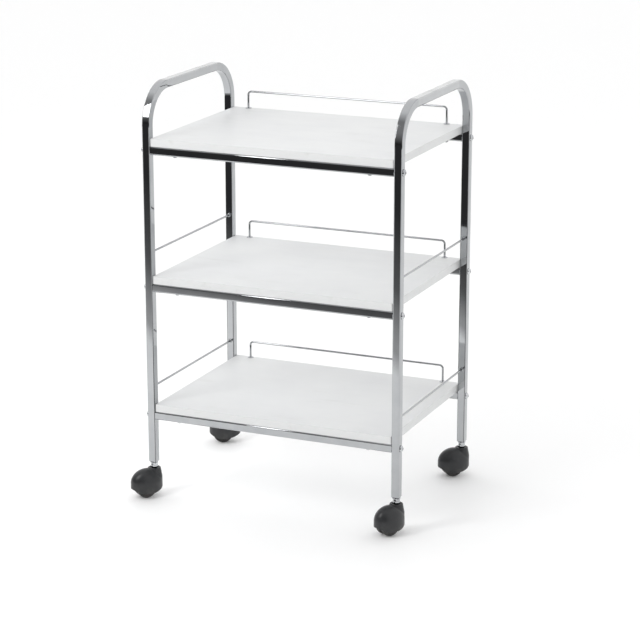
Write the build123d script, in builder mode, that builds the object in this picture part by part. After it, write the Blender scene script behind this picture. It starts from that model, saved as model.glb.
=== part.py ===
import os
from math import cos, pi, sin

from build123d import *

os.makedirs("parts", exist_ok=True)

# Millimetres. The floor is z = 0, +Z is up and the front of the trolley faces -Y.
# The origin is on the floor, midway between the four castor stems.

# Overall sizes
width = 525.0  # over the outer faces of the two side frames
depth = 370.0  # over the front and back faces of the legs
height = 811.0  # floor to the top of the handle arches

# Square tube of the side frames and rails
tube = 16.0
tube_wall = 1.5
tube_corner = 2.2  # outer corner radius
arch_bend = 72.0  # centreline radius of the two bends in each arch
leg_end_chamfer = 1.2

# Shelves: heights are to the boards' top faces
bottom_shelf_height = 188.5
lower_bay = 256.0  # bottom shelf face to middle shelf face
handle_rise = 100.0  # top shelf face to the top of the arches
board_thickness = 15.0
board_end_gap = 0.5  # board to leg, at each end
board_setback = 1.2  # board edge behind the legs' outer faces, front and back
board_corner = 2.5
edging = 0.8  # thickness of the edge band around each board
edge_ease = 0.4  # broken edge along the band

# Wire rails
wire = 4.0  # diameter
back_wire_rise = 34.0  # board face to the wire's centreline
back_wire_inset = 34.0  # end of the board to an upright
back_wire_bend = 7.0  # centreline radius of the wire's two corners
middle_wire_rise = 44.0  # board face to the side wires' centreline
bottom_wire_rise = 33.0
wire_hole_gap = 0.1  # radial gap around a wire in the holes it passes through
wire_entry = 6.0  # how far a side wire reaches past the leg's inner face
flange_diameter = 12.0
flange_height = 1.6
collar_diameter = 7.0
collar_length = 2.0
nut_across_flats = 7.0
nut_height = 3.2
thread_tail = 1.8  # threaded wire end that shows under its nut

# Fasteners
thread_gap = 0.05  # radial gap that stands for each thread
bolt = 6.0
bolt_head = 13.0
bolt_head_height = 4.2
bolt_head_edge = 0.9  # straight edge below the head's dome
bolt_head_flat = 5.4  # flat at the top of the dome
bolt_dome_bulge = 1.0  # how far the dome swells beyond a straight cone
hex_key = 4.0
hex_depth = 2.3
bolt_hole_gap = 0.2
bolt_bite = 14.0  # length of bolt inside its plug
plug_length = 20.0
plug_gap = 0.05  # plug to tube, each side
screw = 4.0
screw_head = 8.0
screw_head_height = 2.4
screw_head_round = 1.3
screw_slot = 0.9
screw_slot_depth = 1.4
screw_point = 1.2  # bevel at the screw's tip
screw_bite = 11.0  # length of screw inside the board
screw_inset = 49.0  # end of the board to a screw

# Castors
castor_rise = 19.0  # top of the wheels to the flange that the leg stands on
stem = tube / 2
stem_above = 34.0  # stem length above the flange
stem_bevel = 0.8
shoulder_diameter = 10.4
swivel_gap = 0.05  # radial gap between stem and hood
thrust_gap = 0.3  # gap under the stem's shoulder
socket_wall = 1.2
socket_flange = 13.0
socket_flange_height = 3.5
socket_flange_round = 0.9
socket_height = 10.5  # flange and crown, up to the cut end of the leg
socket_set_in = 0.3  # crown's top edge inside the leg's faces
crown_teeth = 8
crown_notch_depth = 4.5
insert_gap = 0.05
trail = 20.5  # stem axis to wheel axle, seen from above
wheel = 40.0  # wheel diameter
wheel_width = 12.2
wheel_spacing = 4.6  # gap between a castor's two wheels
wheel_shoulder = 5.0  # width of the rounded outer shoulder
axle = 4.0
axle_gap = 0.05  # running gap, radial
wheel_bevel = 1.2  # inner edge of the tread
hub_radius = 6.0
hub_dish = 1.2  # how far the hub is set in from the wheel's outer face
web_thickness = 3.4  # hood web between the wheels
hood_end_room = 12.5  # hood beyond the wheels' radius, front and back
hood_side_room = 8.5  # hood beyond the wheels' outer faces
hood_centre = 17.0  # stem axis to the middle of the hood
hood_wall = 2.2
skirt_rise = 10.0  # axle to where the upright skirt becomes the dome
hood_drop = 2.2  # top of the dome below the flange
rim_sag = 9.0  # rim at the sides of the hood, below the rim at its ends
tower_radius = 15.6  # swivel housing around the stem
tower_top_radius = 12.4
tower_gap = 1.5  # housing to the flange above it
tower_root = 8.0  # how far the housing reaches down inside the skirt
tower_lip = 1.5  # rounding of its top edge
boss_wall = 2.8  # around the stem, under the dome
boss_floor = 1.5  # boss below the stem's end
boss_dip = 3.0  # boss's lower end below the top of the wheels
recess_radius = 8.0
recess_depth = 3.0

# Rest headings: how far each castor has swung from straight forward (-Y) towards -X
headings = {"front_left": 38.0, "front_right": 28.0, "back_left": 70.0, "back_right": 48.0}

# Worked-out sizes
inner = tube - 2 * tube_wall
inner_corner = tube_corner - tube_wall
leg_x = (width - tube) / 2
leg_y = (depth - tube) / 2
rail_length = width - 2 * tube
board_length = rail_length - 2 * board_end_gap
board_depth = depth - 2 * board_setback
shelf_heights = {
    "bottom": bottom_shelf_height,
    "middle": bottom_shelf_height + lower_bay,
    "top": height - handle_rise,
}
side_wire_heights = {
    "bottom": shelf_heights["bottom"] + bottom_wire_rise,
    "middle": shelf_heights["middle"] + middle_wire_rise,
}
back_wire_x = board_length / 2 - back_wire_inset
screw_x = board_length / 2 - screw_inset
wire_hole = wire / 2 + wire_hole_gap
axle_height = wheel / 2
castor_height = wheel + castor_rise
hood_half_length = wheel / 2 + hood_end_room
hood_half_width = wheel_spacing / 2 + wheel_width + hood_side_room
hood_skirt = axle_height + skirt_rise
rim_end = axle_height
rim_side = rim_end - rim_sag
leg_bottom = castor_height + socket_height
tower_top = castor_height - tower_gap
hood_top = castor_height - hood_drop
stem_end = wheel - boss_dip + boss_floor
sides = {"left": -1, "right": 1}
ends = {"front": -1, "back": 1}


def rail_bottom(shelf):
    return shelf_heights[shelf] - board_thickness - tube


def save(part, name):
    part.label = name
    export_step(part, f"parts/{name}.step")


def save_copies(part, name, places):
    # identical fasteners share one node as a group of separate solids
    with BuildPart() as group:
        with Locations(*places):
            add(part)
    save(group.part, name)


def tube_section(plane, centre):
    with BuildSketch(plane) as section:
        with Locations(centre):
            RectangleRounded(tube, tube, tube_corner)
            RectangleRounded(inner, inner, inner_corner, mode=Mode.SUBTRACT)
    return section.sketch


# Side frames: one tube each, two legs joined by the handle arch
arch_centre = height - tube / 2
for side, sign in sides.items():
    with BuildPart() as side_frame:
        with BuildLine(Plane.YZ.offset(sign * leg_x)) as run:
            front_leg = [(-leg_y, leg_bottom), (-leg_y, arch_centre)]
            back_leg = [(leg_y, arch_centre), (leg_y, leg_bottom)]
            FilletPolyline(*front_leg, *back_leg, radius=arch_bend)
        sweep(sections=tube_section(Plane.XY.offset(leg_bottom), (sign * leg_x, -leg_y)), path=run.line)
        cut_ends = side_frame.faces().filter_by(Axis.Z).group_by(Axis.Z)[0]
        chamfer([edge for end in cut_ends for edge in end.outer_wire().edges()], leg_end_chamfer)
        # bolt holes through both walls of each leg
        with BuildSketch(Plane.YZ.offset(sign * leg_x)):
            with Locations(*[(y, rail_bottom(s) + tube / 2) for y in (-leg_y, leg_y) for s in shelf_heights]):
                Circle(bolt / 2 + bolt_hole_gap)
        extrude(amount=tube, both=True, mode=Mode.SUBTRACT)
        # side wire holes, in the facing walls of the two legs only
        with BuildSketch(Plane.XZ):
            with Locations(*[(sign * leg_x, z) for z in side_wire_heights.values()]):
                Circle(wire_hole)
        extrude(amount=leg_y - inner / 4, both=True, mode=Mode.SUBTRACT)
    save(side_frame.part, f"{side}_frame")

# Rails: the front ones are drilled for the board screws, the back ones for the wire uprights
for shelf in shelf_heights:
    bottom = rail_bottom(shelf)
    for end, sign in ends.items():
        drill_x = screw_x if end == "front" else back_wire_x
        drill_radius = screw / 2 + bolt_hole_gap if end == "front" else wire_hole
        with BuildPart() as rail:
            section = tube_section(Plane.YZ.offset(-rail_length / 2), (sign * leg_y, bottom + tube / 2))
            extrude(section, amount=rail_length)
            with BuildSketch(Plane.XY.offset(bottom)):
                with Locations((-drill_x, sign * leg_y), (drill_x, sign * leg_y)):
                    Circle(drill_radius)
            extrude(amount=tube, mode=Mode.SUBTRACT)
        save(rail.part, f"{shelf}_{end}_rail")

# Boards and the bands around their edges
for shelf, top in shelf_heights.items():
    core_length = board_length - 2 * edging
    core_depth = board_depth - 2 * edging
    underside = Plane.XY.offset(top - board_thickness)
    with BuildPart() as board:
        with BuildSketch(underside):
            RectangleRounded(core_length, core_depth, board_corner - edging)
        extrude(amount=board_thickness)
        with BuildSketch(underside):
            with Locations((-back_wire_x, leg_y), (back_wire_x, leg_y)):
                Circle(wire_hole)
        extrude(amount=board_thickness, mode=Mode.SUBTRACT)
        with BuildSketch(underside):
            with Locations((-screw_x, -leg_y), (screw_x, -leg_y)):
                Circle(screw / 2 + thread_gap)
        extrude(amount=screw_bite, mode=Mode.SUBTRACT)
    save(board.part, f"{shelf}_board")

    with BuildPart() as band:
        with BuildSketch(underside):
            RectangleRounded(board_length, board_depth, board_corner)
            RectangleRounded(core_length, core_depth, board_corner - edging, mode=Mode.SUBTRACT)
        extrude(amount=board_thickness)
        flat_ends = band.faces().filter_by(Axis.Z)
        chamfer([edge for face in flat_ends for edge in face.outer_wire().edges()], edge_ease)
    save(band.part, f"{shelf}_board_edging")

# Back wire rails: bent wire, threaded ends through the board and the back rail
for shelf, top in shelf_heights.items():
    tail = rail_bottom(shelf) - nut_height - thread_tail
    crest = top + back_wire_rise
    with BuildPart() as back_wire:
        with BuildLine(Plane.XZ.offset(-leg_y)) as run:
            left_upright = [(-back_wire_x, tail), (-back_wire_x, crest)]
            right_upright = [(back_wire_x, crest), (back_wire_x, tail)]
            FilletPolyline(*left_upright, *right_upright, radius=back_wire_bend)
        with BuildSketch(Plane.XY.offset(tail)):
            with Locations((-back_wire_x, leg_y)):
                Circle(wire / 2)
        sweep(path=run.line)
    save(back_wire.part, f"{shelf}_back_wire")

# Flanges on the boards and nuts under the back rails, round each upright
with BuildPart() as flange:
    with BuildSketch():
        Circle(flange_diameter / 2)
        Circle(wire_hole, mode=Mode.SUBTRACT)
    extrude(amount=flange_height)
    rim = flange.faces().sort_by(Axis.Z)[-1].outer_wire().edges()
    chamfer(rim, flange_height / 2)
upright_places = [(x, leg_y) for x in (-back_wire_x, back_wire_x)]
save_copies(
    flange.part,
    "wire_flanges",
    [Location((x, y, top)) for x, y in upright_places for top in shelf_heights.values()],
)

with BuildPart() as nut:
    with BuildSketch():
        RegularPolygon(nut_across_flats / 2, 6, major_radius=False)
        Circle(wire / 2 + thread_gap, mode=Mode.SUBTRACT)
    extrude(amount=nut_height)
save_copies(
    nut.part,
    "wire_nuts",
    [Location((x, y, rail_bottom(s) - nut_height)) for x, y in upright_places for s in shelf_heights],
)

# Side wires: straight bars let into the facing walls of the legs, with a collar at each leg
leg_face = leg_y - tube / 2
for shelf, z in side_wire_heights.items():
    for side, sign in sides.items():
        with BuildPart() as side_wire:
            with BuildSketch(Plane.XZ):
                with Locations((sign * leg_x, z)):
                    Circle(wire / 2)
            extrude(amount=leg_face + wire_entry, both=True)
        save(side_wire.part, f"{shelf}_{side}_wire")

with BuildPart() as collars:
    for end in (-1, 1):
        with BuildSketch(Plane.XZ.offset(-end * leg_face)):
            with Locations(*[(s * leg_x, z) for s in (-1, 1) for z in side_wire_heights.values()]):
                Circle(collar_diameter / 2)
                Circle(wire_hole, mode=Mode.SUBTRACT)
        extrude(amount=end * collar_length)
save(collars.part, "side_wire_collars")

# Threaded plugs in the rail ends, and the bolts that clamp the rails between the legs
rail_centres = [(end * leg_y, rail_bottom(s) + tube / 2) for end in (-1, 1) for s in shelf_heights]
with BuildPart() as plugs:
    plug = inner - 2 * plug_gap
    for sign in (-1, 1):
        with BuildSketch(Plane.YZ.offset(sign * rail_length / 2)):
            with Locations(*rail_centres):
                RectangleRounded(plug, plug, inner_corner)
                Circle(bolt / 2 + thread_gap, mode=Mode.SUBTRACT)
        extrude(amount=-sign * plug_length)
save(plugs.part, "rail_plugs")

with BuildPart() as bolt_part:
    with BuildSketch(Plane.XZ):
        with BuildLine():
            edge = Line((bolt_head / 2, 0), (bolt_head / 2, bolt_head_edge))
            dome_top = (bolt_head_flat / 2, bolt_head_height)
            dome = SagittaArc(edge @ 1, dome_top, bolt_dome_bulge)
            Polyline(dome @ 1, (0, bolt_head_height), (0, 0), edge @ 0)
        make_face()
    revolve(axis=Axis.Z)
    with BuildSketch(Plane.XY.offset(bolt_head_height)):
        RegularPolygon(hex_key / 2, 6, major_radius=False)
    extrude(amount=-hex_depth, mode=Mode.SUBTRACT)
    with BuildSketch():
        Circle(bolt / 2)
    extrude(amount=-(tube + bolt_bite))
save_copies(
    bolt_part.part,
    "rail_bolts",
    [Location((s * width / 2, y, z), (0, s * 90, 0)) for s in (-1, 1) for y, z in rail_centres],
)

with BuildPart() as screw_part:
    with BuildSketch():
        Circle(screw_head / 2)
    extrude(amount=-screw_head_height)
    fillet(screw_part.edges().sort_by(Axis.Z)[0], screw_head_round)
    with BuildSketch(Plane.XY.offset(-screw_head_height)):
        Rectangle(screw, screw_slot)
        Rectangle(screw_slot, screw)
    extrude(amount=screw_slot_depth, mode=Mode.SUBTRACT)
    with BuildSketch():
        Circle(screw / 2)
    extrude(amount=tube + screw_bite)
    tip = screw_part.edges().sort_by(Axis.Z)[-1]
    chamfer(tip, screw_point)
save_copies(
    screw_part.part,
    "board_screws",
    [Location((x, -leg_y, rail_bottom(s))) for x in (-screw_x, screw_x) for s in shelf_heights],
)

# Castor sockets: chromed sleeves with a toothed crown under the leg, held in nylon inserts
leg_places = [Location((x * leg_x, y * leg_y, 0)) for x in (-1, 1) for y in (-1, 1)]
socket_bore = stem / 2 + swivel_gap
sleeve = socket_bore + socket_wall
crown_bottom = castor_height + socket_flange_height
crown_top_radius = tube / 2 - socket_set_in
with BuildPart() as socket:
    with BuildSketch(Plane.XZ):
        with BuildLine():
            Polyline(
                (socket_bore, castor_height),
                (socket_flange / 2, castor_height),
                (socket_flange / 2, crown_bottom),
                (crown_top_radius, leg_bottom),
                (sleeve, leg_bottom),
                (sleeve, castor_height + stem_above),
                (socket_bore, castor_height + stem_above),
                close=True,
            )
        make_face()
    revolve(axis=Axis.Z)
    flange_edge = socket.edges().filter_by(GeomType.CIRCLE).group_by(Axis.Z)[0].sort_by(SortBy.RADIUS)[-1]
    fillet(flange_edge, socket_flange_round)
    # notches between the crown's teeth
    notch_half = crown_top_radius * sin(pi / crown_teeth) * 2 / 3
    for tooth in range(crown_teeth):
        turn = 2 * pi * tooth / crown_teeth
        outwards = (cos(turn), sin(turn), 0)
        along = (-sin(turn), cos(turn), 0)
        with BuildSketch(Plane(origin=(0, 0, leg_bottom), x_dir=along, z_dir=outwards).offset(sleeve)):
            Polygon((-notch_half, 0), (0, -crown_notch_depth), (notch_half, 0), align=None)
        extrude(amount=tube, mode=Mode.SUBTRACT)
save_copies(socket.part, "castor_sockets", leg_places)

with BuildPart() as insert:
    with BuildSketch(Plane.XY.offset(leg_bottom)):
        RectangleRounded(inner - 2 * insert_gap, inner - 2 * insert_gap, inner_corner)
        Circle(sleeve + insert_gap, mode=Mode.SUBTRACT)
    extrude(amount=stem_above)
save_copies(insert.part, "leg_inserts", leg_places)

# Castors, drawn once with the stem on the Z axis and the wheels trailing towards -Y
with BuildPart() as stem_part:
    with BuildSketch(Plane.XY.offset(stem_end)):
        Circle(stem / 2)
    extrude(amount=castor_height - stem_end + stem_above)
    chamfer(stem_part.edges().group_by(Axis.Z)[0] + stem_part.edges().group_by(Axis.Z)[-1], stem_bevel)
    with BuildSketch(Plane.XY.offset(castor_height)):
        Circle(shoulder_diameter / 2)
    extrude(amount=-(castor_height - tower_top + recess_depth - thrust_gap))


def hood_form(inset, floor):
    # an egg-shaped dome on an upright skirt, inset from the hood's outer surface
    half_width = hood_half_width - inset
    with BuildPart() as form:
        with BuildSketch(Plane.XZ):
            with BuildLine():
                Polyline((0, hood_top - inset), (0, floor), (half_width, floor), (half_width, hood_skirt))
                EllipticalCenterArc((0, hood_skirt), half_width, hood_top - inset - hood_skirt, arc_size=90)
            make_face()
        revolve(axis=Axis.Z)
        scale(by=(1, (hood_half_length - inset) / half_width, 1))
    return Pos(0, -hood_centre, 0) * form.part


with BuildPart() as web:
    add(hood_form(hood_wall / 2, 0))
    with BuildSketch(Plane.XY):
        with Locations((0, -hood_centre)):
            Rectangle(web_thickness, 2 * hood_half_length)
    extrude(amount=hood_top, mode=Mode.INTERSECT)

with BuildPart() as hood:
    add(hood_form(0, 0))
    # the swivel housing, straight at first and narrowing to its top
    with BuildSketch(Plane.XZ):
        with BuildLine():
            Polyline(
                (0, hood_skirt - tower_root),
                (tower_radius, hood_skirt - tower_root),
                (tower_radius, wheel),
                (tower_top_radius, tower_top),
                (0, tower_top),
                close=True,
            )
        make_face()
    revolve(axis=Axis.Z)
    lip = hood.edges().filter_by(GeomType.CIRCLE).sort_by(Axis.Z)[-1]
    fillet(lip, tower_lip)
    add(hood_form(hood_wall, -1), mode=Mode.SUBTRACT)
    add(web.part)
    # the boss that the stem turns in
    boss_bottom = stem_end - boss_floor
    with BuildSketch(Plane.XY.offset(boss_bottom)):
        Circle(stem / 2 + boss_wall)
    extrude(amount=tower_top - recess_depth - boss_bottom)
    with BuildSketch(Plane.XY.offset(tower_top)):
        Circle(recess_radius)
    extrude(amount=-recess_depth, mode=Mode.SUBTRACT)
    with BuildSketch(Plane.XY.offset(tower_top)):
        Circle(stem / 2 + swivel_gap)
    extrude(amount=stem_end - tower_top, mode=Mode.SUBTRACT)
    # the rim: high at both ends, low at the sides
    with BuildSketch(Plane.YZ):
        with BuildLine():
            reach = hood_half_length + 1
            start = (-hood_centre - reach, rim_end)
            finish = (-hood_centre + reach, rim_end)
            ThreePointArc(start, (-hood_centre, rim_side), finish)
            Polyline(finish, (finish[0], -2), (start[0], -2), start)
        make_face()
    extrude(amount=hood_half_width + 1, both=True, mode=Mode.SUBTRACT)
    with BuildSketch(Plane.YZ):
        with Locations((-trail, axle_height)):
            Circle(axle / 2)
    extrude(amount=web_thickness, both=True, mode=Mode.SUBTRACT)

with BuildPart() as axle_part:
    with BuildSketch(Plane.YZ):
        with Locations((-trail, axle_height)):
            Circle(axle / 2)
    extrude(amount=wheel_spacing / 2 + wheel_width - hub_dish - axle_gap, both=True)


def wheel_form(sign):
    # a solid wheel with a rounded outer shoulder and a dished hub
    near = wheel_spacing / 2
    far = near + wheel_width
    radius = wheel / 2
    bore = axle / 2 + axle_gap
    with BuildPart() as form:
        with BuildSketch(Plane.XY):
            with BuildLine():
                tread_end = (far - wheel_shoulder, radius)
                Polyline((near, bore), (near, radius - wheel_bevel), (near + wheel_bevel, radius), tread_end)
                shoulder = RadiusArc(tread_end, (far, radius - wheel_shoulder), wheel_shoulder)
                hub = far - hub_dish
                Polyline(shoulder @ 1, (far, hub_radius + hub_dish), (hub, hub_radius), (hub, bore), (near, bore))
            make_face()
        revolve(axis=Axis.X)
    turned = form.part if sign > 0 else form.part.mirror(Plane.YZ)
    return Pos(0, -trail, axle_height) * turned


for end, y_sign in ends.items():
    for side, x_sign in sides.items():
        corner = f"{end}_{side}"
        place = Location((x_sign * leg_x, y_sign * leg_y, 0), (0, 0, -headings[corner]))
        save(place * stem_part.part, f"{corner}_castor_stem")
        save(place * hood.part, f"{corner}_castor_hood")
        save(place * axle_part.part, f"{corner}_castor_axle")
        save(place * wheel_form(-1), f"{corner}_castor_left_wheel")
        save(place * wheel_form(1), f"{corner}_castor_right_wheel")
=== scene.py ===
from math import atan2, cos, pi, radians, sin

import bmesh
import bpy
from mathutils import Matrix, Vector


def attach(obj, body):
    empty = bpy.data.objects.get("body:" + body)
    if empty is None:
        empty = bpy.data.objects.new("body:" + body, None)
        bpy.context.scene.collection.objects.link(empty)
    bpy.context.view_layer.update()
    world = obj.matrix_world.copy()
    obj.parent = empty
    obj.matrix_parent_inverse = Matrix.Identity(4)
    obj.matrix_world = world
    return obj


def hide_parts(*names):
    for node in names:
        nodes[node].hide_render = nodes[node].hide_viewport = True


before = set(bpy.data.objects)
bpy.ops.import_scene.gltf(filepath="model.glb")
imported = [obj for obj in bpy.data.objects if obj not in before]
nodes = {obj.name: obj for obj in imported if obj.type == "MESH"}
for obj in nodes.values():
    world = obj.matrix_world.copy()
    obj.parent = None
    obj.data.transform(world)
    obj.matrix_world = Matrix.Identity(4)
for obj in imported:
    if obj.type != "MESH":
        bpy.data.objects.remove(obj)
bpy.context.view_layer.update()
mm = 0.001
scene = bpy.context.scene
print("frame: loaded", len(nodes), "nodes")


# colours are sRGB hex, as a paint picker gives them
def linear(hexColour):
    channels = [int(hexColour[i:i + 2], 16) / 255 for i in (1, 3, 5)]
    return [c / 12.92 if c <= 0.04045 else ((c + 0.055) / 1.055) ** 2.4 for c in channels] + [1.0]


# adds one node; settings go to its attributes or sockets, links join sockets to its inputs
def addNode(tree, kind, settings, links):
    node = tree.nodes.new(kind)
    for key, value in settings.items():
        if isinstance(key, str) and hasattr(node, key):
            setattr(node, key, value)
        else:
            isColour = isinstance(value, str)
            node.inputs[key].default_value = linear(value) if isColour else value
    for key, socket in links.items():
        tree.links.new(socket, node.inputs[key])
    return node


# rows are (label, kind, settings, links); a link names the row and the output it comes from
def fillTree(tree, rows):
    tree.nodes.clear()
    made = {}
    for label, kind, settings, links in rows:
        sockets = {key: made[source].outputs[output] for key, (source, output) in links.items()}
        made[label] = addNode(tree, kind, settings, sockets)


def makeMaterial(name, rows):
    material = bpy.data.materials.new(name)
    material.use_nodes = True
    surface = [("output", "ShaderNodeOutputMaterial", {}, {"Surface": ("shader", 0)})]
    fillTree(material.node_tree, [("coords", "ShaderNodeTexCoord", {}, {})] + rows + surface)
    return material


# Bright chrome plate on drawn steel: a clean mirror, slightly wavy along the tube, with faint
# wipe marks and hairlines
chromeLook = {"colour": "#B5B7B9", "worn": "#AAACAF", "roughness": 0.03, "smeared": 0.075,
              "hairlineMm": 0.5, "hairlineHeightMm": 0.0008, "waveMm": 5.0, "waveHeightMm": 0.012,
              "smearMm": 45}


def chromeMaterial(name, along, softer=0.0, waviness=1.0, colour=chromeLook["colour"]):
    look = chromeLook
    long = [0.02 if axis == along else 1.0 for axis in "XYZ"]
    soft = look["roughness"] + softer, look["smeared"] + softer
    return makeMaterial(name, [
        ("space", "ShaderNodeMapping", {"Scale": long}, {"Vector": ("coords", "Object")}),
        ("hairlines", "ShaderNodeTexNoise", {"Scale": 1000 / look["hairlineMm"], "Detail": 3.0},
         {"Vector": ("space", 0)}),
        ("waves", "ShaderNodeTexNoise", {"Scale": 1000 / look["waveMm"], "Detail": 1.0},
         {"Vector": ("space", 0)}),
        ("smears", "ShaderNodeTexNoise",
         {"Scale": 1000 / look["smearMm"], "Detail": 5.0, "Roughness": 0.62, "Distortion": 0.4},
         {"Vector": ("coords", "Object")}),
        ("wornness", "ShaderNodeMapRange", {"From Min": 0.35, "From Max": 0.75}, {"Value": ("smears", 0)}),
        ("tint", "ShaderNodeMix", {"data_type": "RGBA", 6: colour, 7: look["worn"]}, {0: ("wornness", 0)}),
        ("polish", "ShaderNodeMapRange",
         {"From Min": 0.45, "From Max": 0.75, "To Min": soft[0], "To Max": soft[1]},
         {"Value": ("smears", 0)}),
        ("fine", "ShaderNodeMapRange",
         {"From Min": 0.3, "From Max": 0.8, "To Min": -0.01, "To Max": 0.03},
         {"Value": ("hairlines", 0)}),
        ("roughness", "ShaderNodeMath", {"operation": "ADD"}, {0: ("polish", 0), 1: ("fine", 0)}),
        ("waveBump", "ShaderNodeBump",
         {"Distance": look["waveHeightMm"] * mm * waviness, "Strength": 1.0}, {"Height": ("waves", 0)}),
        ("lineBump", "ShaderNodeBump", {"Distance": look["hairlineHeightMm"] * mm, "Strength": 1.0},
         {"Height": ("hairlines", 0), "Normal": ("waveBump", 0)}),
        ("shader", "ShaderNodeBsdfPrincipled", {"Metallic": 1.0},
         {"Base Color": ("tint", 2), "Roughness": ("roughness", 0), "Normal": ("lineBump", 0)}),
    ])


chromeUpright = chromeMaterial("chromePlatedTubeUpright", "Z")
chromeHandle = chromeMaterial("chromePlatedTubeHandle", "Y", 0.0, 2.5)
chromeRail = chromeMaterial("chromePlatedTubeRail", "X", 0.0, 0.3)
chromeWire = chromeMaterial("chromePlatedWireBack", "X", 0.04)
chromeSideWire = chromeMaterial("chromePlatedWireSide", "Y", 0.04)
chromeSmall = chromeMaterial("chromePlatedFastener", "Z", 0.02, 1.0, "#D2D4D6")

# White melamine foil on particle board: matt-satin pearl grain, faint clouds and wipe marks
melamineLook = {"colour": "#DCDDDD", "clouded": "#D7D8D9", "dust": "#C9C9C6",
                "grainMm": 1.2, "grainHeightMm": 0.02}
melamine = makeMaterial("whiteMelamineBoard", [
    ("clouds", "ShaderNodeTexNoise", {"Scale": 9.0, "Detail": 4.0}, {"Vector": ("coords", "Object")}),
    ("long", "ShaderNodeMapping", {"Scale": (0.3, 1, 1), "Rotation": (0, 0, 0.35)},
     {"Vector": ("coords", "Object")}),
    ("wipes", "ShaderNodeTexNoise", {"Scale": 30.0, "Detail": 5.0, "Roughness": 0.62},
     {"Vector": ("long", 0)}),
    ("grain", "ShaderNodeTexNoise", {"Scale": 1000 / melamineLook["grainMm"], "Detail": 3.0},
     {"Vector": ("coords", "Object")}),
    ("cloudiness", "ShaderNodeMapRange", {"From Min": 0.3, "From Max": 0.7}, {"Value": ("clouds", 0)}),
    ("white", "ShaderNodeMix", {"data_type": "RGBA", 6: melamineLook["colour"], 7: melamineLook["clouded"]},
     {0: ("cloudiness", 0)}),
    ("dustiness", "ShaderNodeMapRange", {"From Min": 0.6, "From Max": 0.85, "To Max": 0.4},
     {"Value": ("wipes", 0)}),
    ("tint", "ShaderNodeMix", {"data_type": "RGBA", 7: melamineLook["dust"]},
     {0: ("dustiness", 0), 6: ("white", 2)}),
    ("roughness", "ShaderNodeMapRange", {"From Min": 0.3, "From Max": 0.75, "To Min": 0.36, "To Max": 0.5},
     {"Value": ("wipes", 0)}),
    ("bump", "ShaderNodeBump", {"Distance": melamineLook["grainHeightMm"] * mm, "Strength": 0.6},
     {"Height": ("grain", 0)}),
    ("shader", "ShaderNodeBsdfPrincipled", {"Specular IOR Level": 0.4},
     {"Base Color": ("tint", 2), "Roughness": ("roughness", 0), "Normal": ("bump", 0)}),
])

# PVC edge band, glued on and trimmed: smoother than the foil, faint lines along it, scuffed
bandLook = {"colour": "#D2D3D3", "scuffed": "#BEBEBC", "lineMm": 0.8, "lineHeightMm": 0.006}
edgeBand = makeMaterial("whitePvcEdgeBand", [
    ("long", "ShaderNodeMapping", {"Scale": (0.02, 0.02, 1)}, {"Vector": ("coords", "Object")}),
    ("lines", "ShaderNodeTexNoise", {"Scale": 1000 / bandLook["lineMm"], "Detail": 2.0},
     {"Vector": ("long", 0)}),
    ("scuffs", "ShaderNodeTexNoise", {"Scale": 40.0, "Detail": 6.0, "Roughness": 0.65},
     {"Vector": ("coords", "Object")}),
    ("scuffed", "ShaderNodeMapRange", {"From Min": 0.6, "From Max": 0.8, "To Max": 0.6},
     {"Value": ("scuffs", 0)}),
    ("tint", "ShaderNodeMix", {"data_type": "RGBA", 6: bandLook["colour"], 7: bandLook["scuffed"]},
     {0: ("scuffed", 0)}),
    ("roughness", "ShaderNodeMapRange", {"From Min": 0.35, "From Max": 0.8, "To Min": 0.28, "To Max": 0.5},
     {"Value": ("scuffs", 0)}),
    ("bump", "ShaderNodeBump", {"Distance": bandLook["lineHeightMm"] * mm, "Strength": 0.6},
     {"Height": ("lines", 0)}),
    ("shader", "ShaderNodeBsdfPrincipled", {},
     {"Base Color": ("tint", 2), "Roughness": ("roughness", 0), "Normal": ("bump", 0)}),
])


# Moulded nylon: satin, with a fine spark-eroded grain and shallow sinks, lighter low down with dust and with
# painted light bounced up from the floor, and scuffed in patches; the grain is drawn coarser than the real
# one, so that it shows
nylonRelief = {"sinkMm": 0.7, "grainMm": 0.02}
# the dust colours are lighter than the nylon; low down they stand for dust and also paint light bounced up
# from the floor
nylonLooks = {
    "satinNylonHood": {"colour": "#232426", "scuffed": "#303133", "dust": "#55534F", "dustAndFloorLightTop": 0.03,
                       "polish": (0.28, 0.42), "grainMm": 0.8},
    "nylonWheelTread": {"colour": "#1E1F20", "scuffed": "#2C2C2D", "dust": "#5B5852", "dustAndFloorLightTop": 0.03,
                        "polish": (0.42, 0.62), "grainMm": 0.6},
    "blackNylonInsert": {"colour": "#161617", "scuffed": "#202021", "dust": "#2A2A2A", "dustAndFloorLightTop": 0.01,
                         "polish": (0.45, 0.6), "grainMm": 0.6},
}


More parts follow.
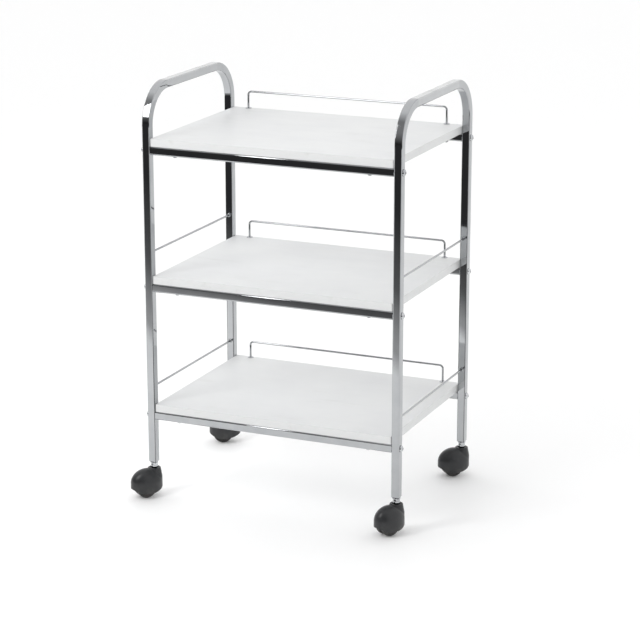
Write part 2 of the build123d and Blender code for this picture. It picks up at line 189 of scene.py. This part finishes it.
def nylonMaterial(name):
    look = nylonLooks[name]
    return makeMaterial(name, [
        ("grain", "ShaderNodeTexNoise", {"Scale": 1000 / look["grainMm"], "Detail": 3.0},
         {"Vector": ("coords", "Object")}),
        ("patches", "ShaderNodeTexNoise", {"Scale": 70.0, "Detail": 5.0, "Roughness": 0.62},
         {"Vector": ("coords", "Object")}),
        ("place", "ShaderNodeSeparateXYZ", {}, {"Vector": ("coords", "Object")}),
        # lighter towards the floor in patches: dust, and painted light bounced up from the floor
        ("low", "ShaderNodeMapRange", {"From Min": look["dustAndFloorLightTop"], "From Max": 0.002},
         {"Value": ("place", "Z")}),
        ("dustAndFloorLightPatches", "ShaderNodeMapRange", {"From Min": 0.4, "From Max": 0.75, "To Min": 0.05, "To Max": 0.7},
         {"Value": ("patches", 0)}),
        ("dustiness", "ShaderNodeMath", {"operation": "MULTIPLY"}, {0: ("low", 0), 1: ("dustAndFloorLightPatches", 0)}),
        ("scuffs", "ShaderNodeMapRange", {"From Min": 0.55, "From Max": 0.8}, {"Value": ("patches", 0)}),
        ("nylon", "ShaderNodeMix", {"data_type": "RGBA", 6: look["colour"], 7: look["scuffed"]},
         {0: ("scuffs", 0)}),
        ("tint", "ShaderNodeMix", {"data_type": "RGBA", 7: look["dust"]},
         {0: ("dustiness", 0), 6: ("nylon", 2)}),
        ("roughness", "ShaderNodeMapRange",
         {"From Min": 0.3, "From Max": 0.75, "To Min": look["polish"][0], "To Max": look["polish"][1]},
         {"Value": ("patches", 0)}),
        ("sinks", "ShaderNodeTexNoise", {"Scale": 95.0, "Detail": 2.0}, {"Vector": ("coords", "Object")}),
        ("uneven", "ShaderNodeBump", {"Distance": nylonRelief["sinkMm"] * mm, "Strength": 0.35},
         {"Height": ("sinks", 0)}),
        ("bump", "ShaderNodeBump", {"Distance": nylonRelief["grainMm"] * mm, "Strength": 0.6},
         {"Height": ("grain", 0), "Normal": ("uneven", 0)}),
        ("shader", "ShaderNodeBsdfPrincipled", {},
         {"Base Color": ("tint", 2), "Roughness": ("roughness", 0), "Normal": ("bump", 0)}),
    ])


hoodNylon, wheelNylon, insertNylon = [nylonMaterial(name) for name in nylonLooks]

# Zinc-plated steel: greyer and duller than chrome, lightly turned and mottled; the stems are greased
def plainSteel(name, light, dark):
    return makeMaterial(name, [
        ("mottle", "ShaderNodeTexNoise", {"Scale": 300.0, "Detail": 4.0}, {"Vector": ("coords", "Object")}),
        ("rings", "ShaderNodeMapping", {"Scale": (0.1, 0.1, 1)}, {"Vector": ("coords", "Object")}),
        ("turning", "ShaderNodeTexNoise", {"Scale": 3000.0, "Detail": 2.0}, {"Vector": ("rings", 0)}),
        ("tint", "ShaderNodeMix", {"data_type": "RGBA", 6: light, 7: dark}, {0: ("mottle", 0)}),
        ("roughness", "ShaderNodeMapRange",
         {"From Min": 0.3, "From Max": 0.7, "To Min": 0.22, "To Max": 0.38}, {"Value": ("mottle", 0)}),
        ("bump", "ShaderNodeBump", {"Distance": 0.005 * mm, "Strength": 0.6}, {"Height": ("turning", 0)}),
        ("shader", "ShaderNodeBsdfPrincipled", {"Metallic": 1.0},
         {"Base Color": ("tint", 2), "Roughness": ("roughness", 0), "Normal": ("bump", 0)}),
    ])


zinc = plainSteel("zincPlatedSteel", "#A9ABAD", "#8E9092")
darkSteel = plainSteel("greasedSteel", "#3A3936", "#242321")
print("materials: made")


# makes a piece from a bmesh drawn in millimetres and puts it in place of its CAD nodes
def makePiece(name, bm, body, materials, replaced):
    bmesh.ops.remove_doubles(bm, verts=bm.verts, dist=0.001)
    bmesh.ops.recalc_face_normals(bm, faces=bm.faces)
    bmesh.ops.scale(bm, vec=(mm, mm, mm), verts=bm.verts)
    for face in bm.faces:
        face.smooth = True
    mesh = bpy.data.meshes.new(name)
    bm.to_mesh(mesh)
    bm.free()
    for material in materials:
        mesh.materials.append(material)
    piece = bpy.data.objects.new(name, mesh)
    scene.collection.objects.link(piece)
    normals = piece.modifiers.new("even normals", "WEIGHTED_NORMAL")
    normals.keep_sharp = False
    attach(piece, body)
    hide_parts(*replaced)
    return piece


# a face with rounded corners, square to the Z axis at first
def roundedFace(bm, width, depth, corner, segments, place):
    verts = bmesh.ops.create_grid(bm, x_segments=1, y_segments=1, size=0.5)["verts"]
    bmesh.ops.scale(bm, vec=(width, depth, 1), verts=verts)
    rounded = bmesh.ops.bevel(bm, geom=verts, offset=corner, offset_type="OFFSET", segments=segments,
                              profile=0.5, affect="VERTICES", material=-1)
    verts = list({v for v in rounded["verts"]})
    bmesh.ops.transform(bm, matrix=place, verts=verts)
    return [f for f in verts[0].link_faces][0]


def pushFace(bm, face, move, grow=1.0):
    made = bmesh.ops.extrude_face_region(bm, geom=[face])["geom"]
    verts = [item for item in made if isinstance(item, bmesh.types.BMVert)]
    bmesh.ops.translate(bm, vec=Vector(move), verts=verts)
    last = [item for item in made if isinstance(item, bmesh.types.BMFace)][0]
    if grow != 1.0:
        middle = last.calc_center_median()
        bmesh.ops.scale(bm, vec=(grow, grow, grow), space=Matrix.Translation(-middle), verts=verts)
    return last


def bendFace(bm, face, centre, axis, angle, steps):
    made = bmesh.ops.spin(bm, geom=[face], cent=centre, axis=axis, dvec=(0, 0, 0), angle=radians(angle),
                          steps=steps, use_merge=False, use_duplicate=False)["geom_last"]
    return [item for item in made if isinstance(item, bmesh.types.BMFace)][0]


# turns a profile of (radius, height) points once round the Z axis, then places it
def lathe(bm, profile, steps, place=Matrix()):
    before = set(bm.verts)
    verts = [bm.verts.new((r, 0, z)) for r, z in profile]
    edges = [bm.edges.new(pair) for pair in zip(verts, verts[1:])]
    bmesh.ops.spin(bm, geom=verts + edges, cent=(0, 0, 0), axis=(0, 0, 1), dvec=(0, 0, 0), angle=2 * pi,
                   steps=steps, use_merge=True, use_duplicate=False)
    made = [v for v in bm.verts if v not in before]
    bmesh.ops.remove_doubles(bm, verts=made, dist=0.0005)
    made = [v for v in bm.verts if v not in before]
    bmesh.ops.transform(bm, matrix=place, verts=made)
    return made


# points of a quarter round from start to finish, bulging towards the corner
def rounding(start, corner, finish, count=5):
    points = []
    for step in range(count + 1):
        t = step / count * pi / 2
        a, b = 1 - sin(t), 1 - cos(t)
        points.append(tuple(corner[i] + (start[i] - corner[i]) * a + (finish[i] - corner[i]) * b
                            for i in (0, 1)))
    return points


# Places in millimetres: leg centres, the boards' top faces, and how far each castor has swung
legX, legY = 254.5, 177.0
shelves = {"bottom": 188.5, "middle": 444.5, "top": 711.0}
headings = {"front_left": 38, "front_right": 28, "back_left": 70, "back_right": 48}
railDrop = 23  # board face to the middle of the rail below it

# Side frames: one square tube up, over and down, open at both cut ends
tube = {"size": 16, "corner": 2.2, "bend": 72, "bendSteps": 28, "foot": 69.5, "top": 803,
        "chamfer": 1.2, "cutCorner": 0.8, "cutWall": 0.7, "openDepth": 36, "handleAbove": 760}
for side, x in (("left", -legX), ("right", legX)):
    bm = bmesh.new()
    small = tube["size"] - 2 * tube["chamfer"]
    place = Matrix.Translation((x, -legY, tube["foot"]))
    foot = roundedFace(bm, small, small, tube["corner"] * tube["cutCorner"], 4, place)
    rise = tube["top"] - tube["bend"]
    face = pushFace(bm, foot, (0, 0, tube["chamfer"]), tube["size"] / small)
    face = pushFace(bm, face, (0, 0, rise - tube["foot"] - tube["chamfer"]))
    face = bendFace(bm, face, (x, -legY + tube["bend"], rise), (1, 0, 0), -90, tube["bendSteps"])
    face = pushFace(bm, face, (0, 2 * (legY - tube["bend"]), 0))
    face = bendFace(bm, face, (x, legY - tube["bend"], rise), (1, 0, 0), -90, tube["bendSteps"])
    face = pushFace(bm, face, (0, 0, tube["foot"] + tube["chamfer"] - rise))
    face = pushFace(bm, face, (0, 0, -tube["chamfer"]), small / tube["size"])
    cutEnds = [f for f in bm.faces
               if abs(f.normal.z) > 0.99 and abs(f.calc_center_median().z - tube["foot"]) < 0.01]
    for end in cutEnds:
        bmesh.ops.inset_individual(bm, faces=[end], thickness=tube["cutWall"])
        pushFace(bm, end, (0, 0, tube["openDepth"]))
    piece = makePiece(side + "SideFrame", bm, "trolley", [chromeUpright, chromeHandle],
                      [side + "_frame"])
    for face in piece.data.polygons:
        face.material_index = 1 if face.center.z > tube["handleAbove"] * mm else 0

# Rails: square tube with rounder corners, clamped between the legs
rail = {"length": 493, "corner": 3.0, "cornerSegments": 8}
for shelf, top in shelves.items():
    for end, y in (("front", -legY), ("back", legY)):
        bm = bmesh.new()
        turn = Matrix.Rotation(radians(90), 4, "Y")
        place = Matrix.Translation((-rail["length"] / 2, y, top - railDrop)) @ turn
        face = roundedFace(bm, tube["size"], tube["size"], rail["corner"], rail["cornerSegments"], place)
        pushFace(bm, face, (rail["length"], 0, 0))
        makePiece(shelf + end.title() + "Rail", bm, "trolley", [chromeRail],
                  [f"{shelf}_{end}_rail"])
print("tubes: made")

# Back wires: threaded tail, upright, corner, long run, corner, upright, tail
wire = {"radius": 2, "rise": 34, "bend": 7, "bendSteps": 8, "x": 212, "tail": 36, "facets": 20}
for shelf, top in shelves.items():
    bm = bmesh.new()
    crest = top + wire["rise"]
    foot = top - wire["tail"]
    made = bmesh.ops.create_circle(bm, cap_ends=True, radius=wire["radius"], segments=wire["facets"],
                                   matrix=Matrix.Translation((-wire["x"], legY, foot)))["verts"]
    face = made[0].link_faces[0]
    climb = crest - wire["bend"] - foot
    face = pushFace(bm, face, (0, 0, climb))
    centre = Vector((wire["bend"] - wire["x"], legY, crest - wire["bend"]))
    face = bendFace(bm, face, centre, (0, 1, 0), 90, wire["bendSteps"])
    face = pushFace(bm, face, (2 * (wire["x"] - wire["bend"]), 0, 0))
    centre.x = wire["x"] - wire["bend"]
    face = bendFace(bm, face, centre, (0, 1, 0), 90, wire["bendSteps"])
    pushFace(bm, face, (0, 0, -climb))
    makePiece(shelf + "BackWire", bm, "trolley", [chromeWire], [shelf + "_back_wire"])

# Side wires and the small collars where they enter the legs
sideWire = {"rises": {"bottom": 33, "middle": 44}, "reach": 175, "collarAt": 169}
collar = rounding((2.2, 2.6), (4.0, 2.6), (4.0, 1.2)) + [(4.0, 0.0), (2.2, 0.0), (2.2, 2.6)]
collars = bmesh.new()
for shelf, rise in sideWire["rises"].items():
    for side, x in (("left", -legX), ("right", legX)):
        bm = bmesh.new()
        z = shelves[shelf] + rise
        place = Matrix.Translation((x, -sideWire["reach"], z)) @ Matrix.Rotation(radians(-90), 4, "X")
        made = bmesh.ops.create_circle(bm, cap_ends=True, radius=wire["radius"], segments=wire["facets"],
                                       matrix=place)["verts"]
        pushFace(bm, made[0].link_faces[0], (0, 2 * sideWire["reach"], 0))
        name = shelf + side.title()
        makePiece(name + "Wire", bm, "trolley", [chromeSideWire], [f"{shelf}_{side}_wire"])
        for y, turn in ((-sideWire["collarAt"], -90), (sideWire["collarAt"], 90)):
            place = Matrix.Translation((x, y, z)) @ Matrix.Rotation(radians(turn), 4, "X")
            lathe(collars, collar, 24, place)
makePiece("wireCollars", collars, "trolley", [chromeSideWire], ["side_wire_collars"])

# Cone-like flanges where the back wires stand on the boards
flange = [(2.2, 0), (6.5, 0), (6.5, 0.5)] + rounding((6.5, 0.5), (5.8, 1.2), (4.6, 1.6))
flange += [(3.0, 2.2), (2.2, 2.4), (2.2, 0)]
bm = bmesh.new()
for top in shelves.values():
    for x in (-wire["x"], wire["x"]):
        lathe(bm, flange, 32, Matrix.Translation((x, legY, top)))
makePiece("wireFlanges", bm, "trolley", [chromeSmall], ["wire_flanges"])
print("wires: made")

# Dome-head bolts with a hex socket
boltHead = {"radius": 6.5, "edge": 0.9, "height": 4.2, "bulge": 1.06, "flat": 2.9, "key": 2.0,
            "keyDepth": 2.3, "seat": 262.5, "steps": 48}
boltTurn = {"first": 17, "perShelf": 41, "perSide": 23}  # where the sockets come to rest, in degrees
domeHeight = boltHead["height"] - boltHead["edge"]
dome = [(boltHead["radius"] * cos(t), boltHead["edge"] + domeHeight * sin(t) * boltHead["bulge"])
        for t in [radians(a) for a in (0, 10, 20, 30, 40, 50, 60)]]
profile = [(0, -30), (2.6, -30), (3, -29.5), (3, 0), (6.3, 0), (6.5, 0.25)] + dome
profile += [(boltHead["flat"], boltHead["height"]), (boltHead["key"] + 0.15, boltHead["height"]),
            (boltHead["key"], boltHead["height"] - 0.15),
            (boltHead["key"], boltHead["height"] - boltHead["keyDepth"]),
            (0, boltHead["height"] - boltHead["keyDepth"] - 0.3)]
bm = bmesh.new()
for sign in (-1, 1):
    for y in (-legY, legY):
        for number, top in enumerate(shelves.values()):
            turn = boltTurn["first"] + boltTurn["perShelf"] * number + boltTurn["perSide"] * sign
            spin = Matrix.Rotation(radians(turn), 4, "Z")
            made = lathe(bm, profile, boltHead["steps"])
            for vert in made:
                radius = vert.co.xy.length
                if 0.5 < radius < boltHead["key"] + 0.2 and vert.co.z > 0:
                    side = (atan2(vert.co.y, vert.co.x) + 2 * pi) % (pi / 3) - pi / 6
                    vert.co.xy = vert.co.xy * (1 / cos(side))
            outward = Matrix.Rotation(radians(90 * sign), 4, "Y")
            place = Matrix.Translation((sign * boltHead["seat"], y, top - railDrop)) @ outward
            bmesh.ops.transform(bm, matrix=place @ spin, verts=made)
makePiece("railBolts", bm, "trolley", [chromeSmall], ["rail_bolts"])

# Castor sockets: a rounded flange, then a crown with notches between its teeth
crown = {"notches": 8, "top": 69.5, "root": 66, "halfAngle": 13, "outside": 7, "pinch": 0.11, "steps": 64}
profile = [(4.05, 59), (6.0, 59)] + rounding((6.0, 59), (7.0, 59), (7.0, 60))
profile += rounding((7.0, 62.2), (7.0, 62.7), (6.5, 62.7))
profile += [(6.6, 63.0), (7.1, 66), (7.7, 69.5), (5.3, 69.5), (5.25, 73), (5.25, 93), (4.05, 93), (4.05, 59)]
bm = bmesh.new()
for x in (-legX, legX):
    for y in (-legY, legY):
        made = lathe(bm, profile, crown["steps"])
        for vert in made:
            if abs(vert.co.z - crown["top"]) < 0.01:
                period = 2 * pi / crown["notches"]
                turn = (atan2(vert.co.y, vert.co.x) + 2 * pi + period / 2) % period - period / 2
                near = 1 - abs(turn) / radians(crown["halfAngle"])
                if near > 0:
                    vert.co.z -= near * (crown["top"] - crown["root"])
                    if vert.co.xy.length > crown["outside"]:
                        vert.co.xy = vert.co.xy * (1 - crown["pinch"] * near)
        bmesh.ops.translate(bm, vec=(x, y, 0), verts=made)
makePiece("castorSockets", bm, "trolley", [chromeSmall], ["castor_sockets"])
print("fasteners and sockets: made")

# Castor wheels: a moulded tread with a fine parting groove, a ringed side face and a capped hub
wheel = {"radius": 20, "trail": 20.5, "near": 2.3, "steps": 72}
tread = [(2.05, 0), (2.05, 0.4), (17.6, 0.4), (17.9, 0)] + rounding((18.9, 0), (20, 0), (20, 1.1))
tread += [(20, 4.2), (19.75, 4.5), (20, 4.8), (20, 7.2)] + rounding((20, 7.2), (20, 12.2), (15, 12.2), 8)
tread += [(14.4, 12.2), (13.9, 11.5), (9.6, 11.5), (9.1, 12.2), (7.6, 12.2)]
tread += rounding((7.6, 12.2), (7.0, 12.2), (7.0, 11.6))
tread += [(6.8, 11.0), (3.4, 11.0), (3.2, 11.8), (2.2, 12.1), (0, 12.15)]
for corner, heading in headings.items():
    end, side = corner.split("_")
    stem = Vector((legX if side == "right" else -legX, legY if end == "back" else -legY, 0))
    place = Matrix.Translation(stem) @ Matrix.Rotation(radians(-heading), 4, "Z")
    for hand, sign in (("left", -1), ("right", 1)):
        bm = bmesh.new()
        outward = Matrix.Rotation(radians(90 * sign), 4, "Y")
        hub = Matrix.Translation((sign * wheel["near"], -wheel["trail"], wheel["radius"])) @ outward
        lathe(bm, tread, wheel["steps"], place @ hub)
        name = end + side.title() + hand.title() + "Wheel"
        makePiece(name, bm, f"{corner}_{hand}_wheel", [wheelNylon],
                  [f"{corner}_castor_{hand}_wheel"])

# Hoods: the CAD shell with its edges melted into moulding radii
hoodLook = {"voxelMm": 0.6, "smoothing": 8}
for corner in headings:
    hood = nodes[corner + "_castor_hood"]
    remesh = hood.modifiers.new("moulded", "REMESH")
    remesh.mode = "VOXEL"
    remesh.voxel_size = hoodLook["voxelMm"] * mm
    remesh.use_smooth_shade = True
    smooth = hood.modifiers.new("radii", "SMOOTH")
    smooth.factor = 0.5
    smooth.iterations = hoodLook["smoothing"]
print("castors: made")

# CAD nodes that no piece replaces: the material, and the width of a softened edge in millimetres
kept = {
    "_board": (melamine, 0.0), "_edging": (edgeBand, 0.3), "_hood": (hoodNylon, 0.0),
    "_inserts": (insertNylon, 0.0), "_stem": (darkSteel, 0.0), "_axle": (zinc, 0.0),
    "wire_nuts": (zinc, 0.15), "rail_plugs": (zinc, 0.0), "board_screws": (chromeSmall, 0.15),
}
for name, node in nodes.items():
    for ending, (material, ease) in kept.items():
        if name.endswith(ending):
            node.data.materials.clear()
            node.data.materials.append(material)
            if ease:
                bevel = node.modifiers.new("eased edge", "BEVEL")
                bevel.width = ease * mm
                bevel.segments = 2
                bevel.limit_method = "ANGLE"
                bevel.angle_limit = radians(30)
                bevel.harden_normals = True

# Stage, in metres: a pale floor, and a faintly glowing dark card over the far floor that only reflections
# see, a painted dark reflection; it sets in along a slanted line and darkens in three steps
stage = {"floor": "#FCFCFC", "half": 40.0,
         "cardStart": -0.95, "cardReach": -40.0, "cardHeight": 0.002, "paintedReflectionColour": "#2A2A2B"}
floor = makeMaterial("paleStudioFloor", [
    ("shader", "ShaderNodeBsdfPrincipled",
     {"Base Color": stage["floor"], "Roughness": 0.6, "Specular IOR Level": 0.2}, {}),
])
# painted reflection: a dark card that glows faintly and is seen only by reflections, darker in three steps
# away from the trolley
reflectionCard = makeMaterial("paintedReflectionCard", [
    ("place", "ShaderNodeVectorMath", {"operation": "DOT_PRODUCT", 1: (-0.3, 1.0, 0.0)},
     {0: ("coords", "Object")}),
    ("first", "ShaderNodeMapRange", {"From Min": -0.93, "From Max": -1.05, "To Max": 0.55},
     {"Value": ("place", "Value")}),
    ("second", "ShaderNodeMapRange", {"From Min": -1.09, "From Max": -1.42, "To Max": 0.33},
     {"Value": ("place", "Value")}),
    ("third", "ShaderNodeMapRange", {"From Min": -1.42, "From Max": -1.97, "To Max": 0.1},
     {"Value": ("place", "Value")}),
    ("most", "ShaderNodeMath", {"operation": "ADD"}, {0: ("first", 0), 1: ("second", 0)}),
    ("dark", "ShaderNodeMath", {"operation": "ADD"}, {0: ("most", 0), 1: ("third", 0)}),
    ("clear", "ShaderNodeBsdfTransparent", {}, {}),
    ("card", "ShaderNodeEmission", {"Color": stage["paintedReflectionColour"]}, {}),
    ("shader", "ShaderNodeMixShader", {}, {0: ("dark", 0), 1: ("clear", 0), 2: ("card", 0)}),
])


def stagePlane(name, low, high, z, material):
    bm = bmesh.new()
    size = Vector((high[0] - low[0], high[1] - low[1], 1))
    centre = Vector(((high[0] + low[0]) / 2, (high[1] + low[1]) / 2, z))
    verts = bmesh.ops.create_grid(bm, x_segments=1, y_segments=1, size=0.5)["verts"]
    bmesh.ops.scale(bm, vec=size, verts=verts)
    bmesh.ops.translate(bm, vec=centre, verts=verts)
    mesh = bpy.data.meshes.new(name)
    bm.to_mesh(mesh)
    bm.free()
    mesh.materials.append(material)
    plane = bpy.data.objects.new(name, mesh)
    scene.collection.objects.link(plane)
    return plane


half = stage["half"]
stagePlane("floor", (-half, -half), (half, half), 0.0, floor)
card = stagePlane("reflectionCard", (-half, stage["cardReach"]), (half, stage["cardStart"]), stage["cardHeight"],
                  reflectionCard)
for way in ("camera", "diffuse", "transmission", "volume_scatter", "shadow"):
    setattr(card, "visible_" + way, False)

# World: soft light, brightest near the horizon and dimmer on the front right; reflections see white
# all round instead, with a dim room at the front left
world = bpy.data.worlds.new("studio")
scene.world = world
world.use_nodes = True
fillTree(world.node_tree, [
    ("coords", "ShaderNodeTexCoord", {}, {}),
    ("rays", "ShaderNodeLightPath", {}, {}),
    ("place", "ShaderNodeSeparateXYZ", {}, {"Vector": ("coords", "Generated")}),
    ("towards", "ShaderNodeVectorMath", {"operation": "DOT_PRODUCT", 1: (-0.4, -0.917, 0.0)},
     {0: ("coords", "Generated")}),
    ("front", "ShaderNodeMapRange", {"From Min": 0.15, "From Max": 0.55}, {"Value": ("towards", "Value")}),
    ("ceiling", "ShaderNodeMapRange", {"From Min": 0.05, "From Max": 0.5, "To Min": 0.03, "To Max": 0.34},
     {"Value": ("place", "Z")}),
    ("round", "ShaderNodeMapRange", {"From Min": 0.0, "From Max": 1.0, "To Min": 3.5, "To Max": 0.44},
     {"Value": ("place", "Z")}),
    ("sideways", "ShaderNodeVectorMath", {"operation": "DOT_PRODUCT", 1: (0.6, -0.8, 0.0)},
     {0: ("coords", "Generated")}),
    ("frontDim", "ShaderNodeMapRange", {"From Min": -0.5, "From Max": 0.3, "To Min": 1.0, "To Max": 0.4},
     {"Value": ("sideways", "Value")}),
    ("soft", "ShaderNodeMath", {"operation": "MULTIPLY"}, {0: ("round", 0), 1: ("frontDim", 0)}),
    ("mirrored", "ShaderNodeMix", {2: 1.0}, {0: ("front", 0), 3: ("ceiling", 0)}),
    ("level", "ShaderNodeMix", {}, {0: ("rays", "Is Glossy Ray"), 2: ("soft", 0), 3: ("mirrored", 0)}),
    ("backdrop", "ShaderNodeBackground", {"Color": "#FFFFFF"}, {"Strength": ("level", 0)}),
    ("output", "ShaderNodeOutputWorld", {}, {"Surface": ("backdrop", 0)}),
])
scene.view_settings.view_transform = "Standard"

lights = {
    "softbox": {"at": (-0.95, -1.52, 1.78), "size": (0.6, 1.2), "power": 14, "aim": (-0.25, -0.15, 0.8)},
    "topFill": {"at": (0.6, -1.6, 3.0), "size": (2.6, 2.6), "power": 8, "aim": (0, 0, 0.3)},
}
for name, light in lights.items():
    lamp = bpy.data.lights.new(name, "AREA")
    lamp.shape = "RECTANGLE"
    lamp.size, lamp.size_y = light["size"]
    lamp.energy = light["power"]
    lampObject = bpy.data.objects.new(name, lamp)
    lampObject.location = light["at"]
    beam = Vector(light["aim"]) - Vector(light["at"])
    lampObject.rotation_euler = beam.to_track_quat("-Z", "Y").to_euler()
    lampObject.visible_glossy = name == "softbox"
    scene.collection.objects.link(lampObject)

# Camera: a long lens a little to the right of the front and above
view = {"azimuth": 23.571, "elevation": 15.765, "distance": 4.4009, "lens": 127.34,
        "aim": (0.0217, 0.0, 0.3409)}
azimuth, elevation = radians(view["azimuth"]), radians(view["elevation"])
back = Vector((sin(azimuth) * cos(elevation), -cos(azimuth) * cos(elevation), sin(elevation)))
cameraData = bpy.data.cameras.new("camera")
cameraData.lens = view["lens"]
cameraData.sensor_width = 36.0
cameraData.clip_end = 200.0
camera = bpy.data.objects.new("camera", cameraData)
camera.location = Vector(view["aim"]) + back * view["distance"]
camera.rotation_euler = (-back).to_track_quat("-Z", "Y").to_euler()
scene.collection.objects.link(camera)
scene.camera = camera
print("stage, lights and camera: set")
